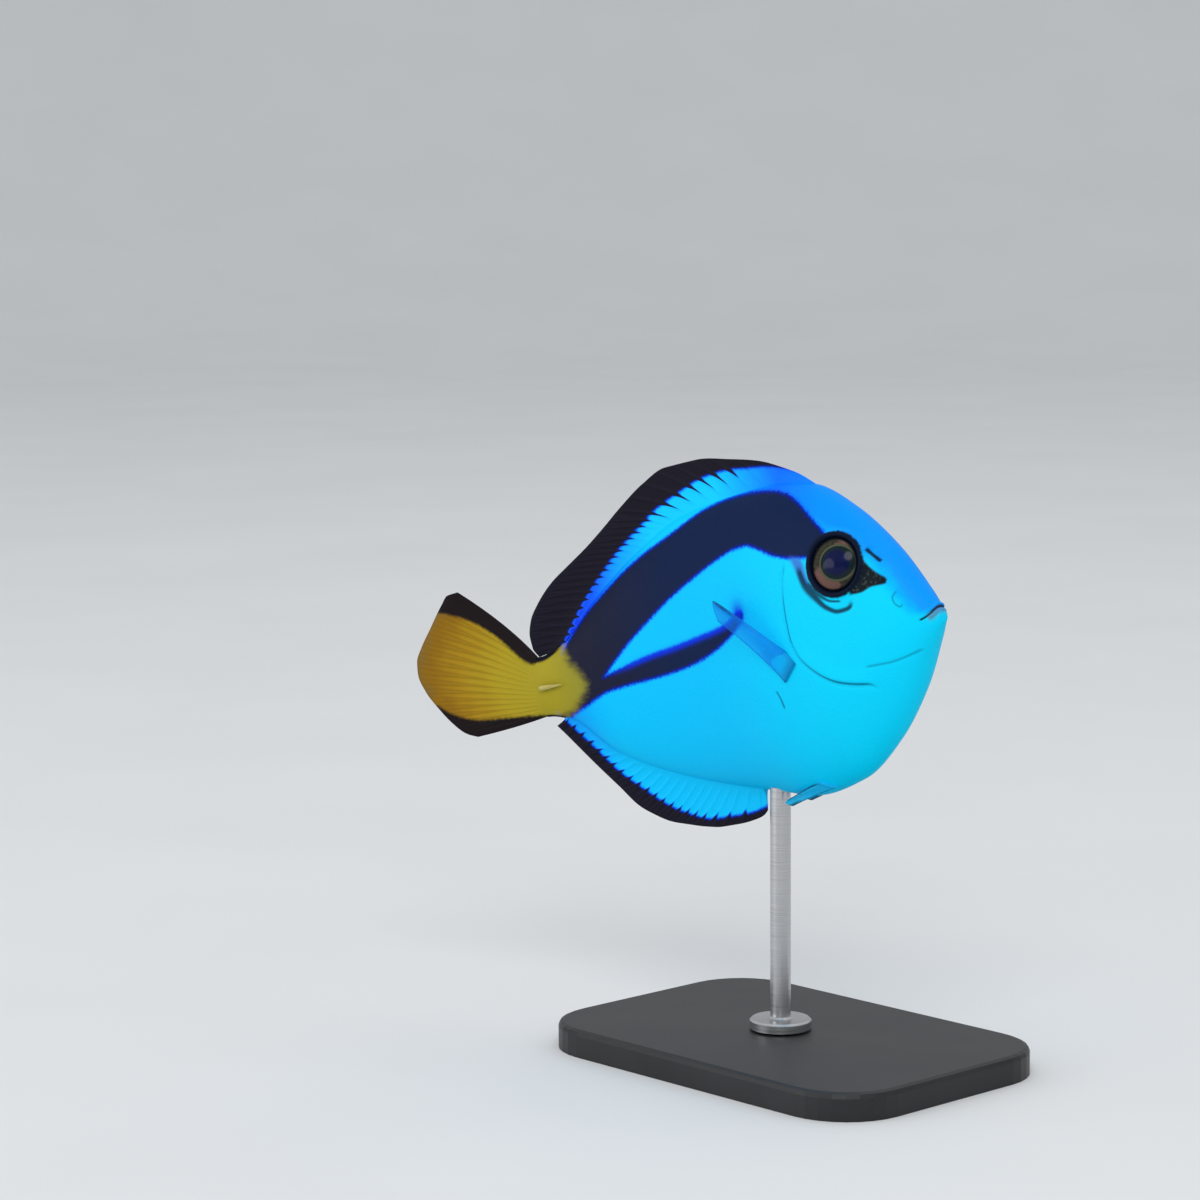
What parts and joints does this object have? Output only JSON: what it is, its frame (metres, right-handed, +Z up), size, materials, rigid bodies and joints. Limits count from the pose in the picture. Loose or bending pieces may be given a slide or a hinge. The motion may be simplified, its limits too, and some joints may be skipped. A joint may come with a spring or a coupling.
{
  "type": "regal blue tang",
  "caption": "Life-size still model of a regal blue tang, swimming with its nose raised and its tail swept to its right side, held by a rod over a flat display base.",
  "frame": {"origin": "centre of the display base's underside", "axes": "+Z up, +X towards the fish's head, so that its right side faces -Y"},
  "size_m": [0.0953, 0.044, 0.0873],
  "materials": {
    "skin_blue": "satin painted fish skin, bright cyan blue with a black band",
    "tail_yellow": "satin painted skin and fin, olive yellow with black borders",
    "fin_margin": "satin painted fin, blue rays with a near-black margin",
    "fin_clear_blue": "thin blue fin, slightly translucent",
    "eye_glass": "polished glossy eye",
    "spine_horn": "smooth horn",
    "stand_black": "satin black powder coat",
    "stand_steel": "brushed steel"
  },
  "bodies": {
    "root": {"head": "skin_blue", "trunk": "skin_blue", "tail_root": "tail_yellow", "caudal_fin": "tail_yellow", "dorsal_fin": "fin_margin", "anal_fin": "fin_margin", "pectoral_fin_right": "fin_clear_blue", "pectoral_fin_left": "fin_clear_blue", "pelvic_fin_right": "fin_clear_blue", "pelvic_fin_left": "fin_clear_blue", "eye_right": "eye_glass", "eye_left": "eye_glass", "tail_spine_right": "spine_horn", "tail_spine_left": "spine_horn", "stand_base": "stand_black", "stand_rod": "stand_steel"}
  },
  "joints": []
}
